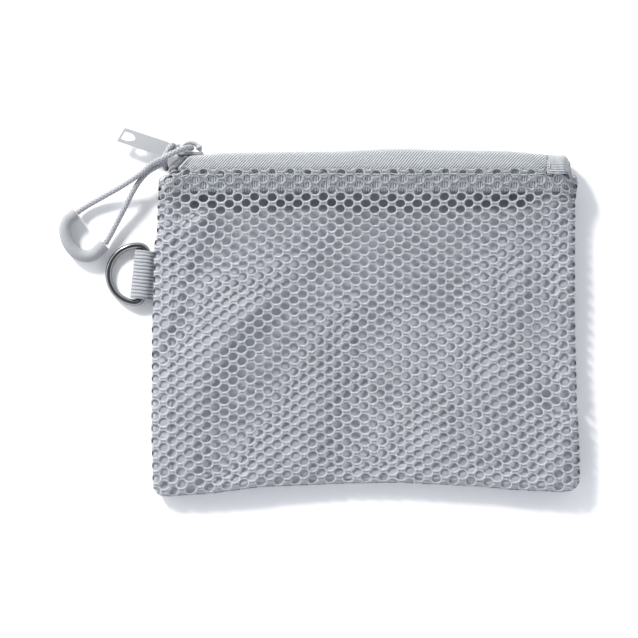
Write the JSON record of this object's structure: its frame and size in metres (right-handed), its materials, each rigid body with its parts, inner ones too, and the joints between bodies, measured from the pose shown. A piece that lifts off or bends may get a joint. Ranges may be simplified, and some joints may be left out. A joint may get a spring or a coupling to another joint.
{
  "type": "neck pouch wallet",
  "caption": "Flat zip pouch with a hexagonal mesh front and woven back, a D-ring on a side webbing loop, and a slider with a flat pull tab and corded grip.",
  "frame": {"origin": "centre of the back panel's underside, the face that lies on the table", "axes": "+X along the zip towards its right end, +Y from the pouch towards the zip, +Z out of the mesh front"},
  "size_m": [0.1838, 0.1277, 0.0117],
  "materials": {
    "mesh_knit": "open hexagonal warp knit, pale grey",
    "woven_cloth": "fine plain weave, blue-grey",
    "zip_tape": "diagonal twill, pale grey",
    "nylon_coil": "satin",
    "ribbed_binding": "ribbed tape, pale grey",
    "webbing": "cross-ribbed webbing, grey",
    "thread": "twisted polyester thread, pale grey",
    "painted_metal": "smooth satin, pale grey",
    "dark_nickel": "polished dark nickel",
    "braided_cord": "braided polyester, grey",
    "soft_grip": "soft matt, pale grey"
  },
  "bodies": {
    "pouch": {"mesh_front_panel": "mesh_knit", "back_panel": "woven_cloth", "left_seam_binding": "ribbed_binding", "right_seam_binding": "ribbed_binding", "bottom_seam_binding": "ribbed_binding", "front_top_binding": "ribbed_binding", "back_top_binding": "ribbed_binding", "front_zipper_tape": "zip_tape", "back_zipper_tape": "zip_tape", "front_zipper_coil": "nylon_coil", "back_zipper_coil": "nylon_coil", "zipper_end_tab": "ribbed_binding", "end_tab_stitch": "thread", "front_topstitch": "thread", "webbing_loop": "webbing"},
    "ring": {"d_ring": "dark_nickel"},
    "slider": {"slider_body": "painted_metal"},
    "tab": {"pull_tab": "painted_metal"},
    "puller": {"puller_grip": "soft_grip", "puller_cord": "braided_cord"}
  },
  "joints": [
    {"name": "slider_slide", "type": "slide", "parent": "pouch", "child": "slider", "axis": [1, 0, 0], "range_m": [0, 0.118], "deforming": ["front_zipper_coil", "back_zipper_coil"]},
    {"name": "tab_swing", "type": "hinge", "parent": "slider", "child": "tab", "pos_m": [-0.0617, 0.059, 0.0052], "axis": [0, 0, 1], "range_deg": [-100, 0]},
    {"name": "puller_swing", "type": "hinge", "parent": "slider", "child": "puller", "pos_m": [-0.0617, 0.0626, 0.0052], "axis": [1, 0, 0], "range_deg": [-100, 0], "deforming": ["puller_cord"]},
    {"name": "d_ring_swing", "type": "hinge", "parent": "pouch", "child": "ring", "pos_m": [-0.0778, 0.016, 0.00235], "axis": [0.1028, 0.9947, 0], "range_deg": [0, 85]}
  ],
  "couplings": [
    {"joint": "puller_swing", "follows": "slider_slide", "rad_per_m": -14.78}
  ]
}
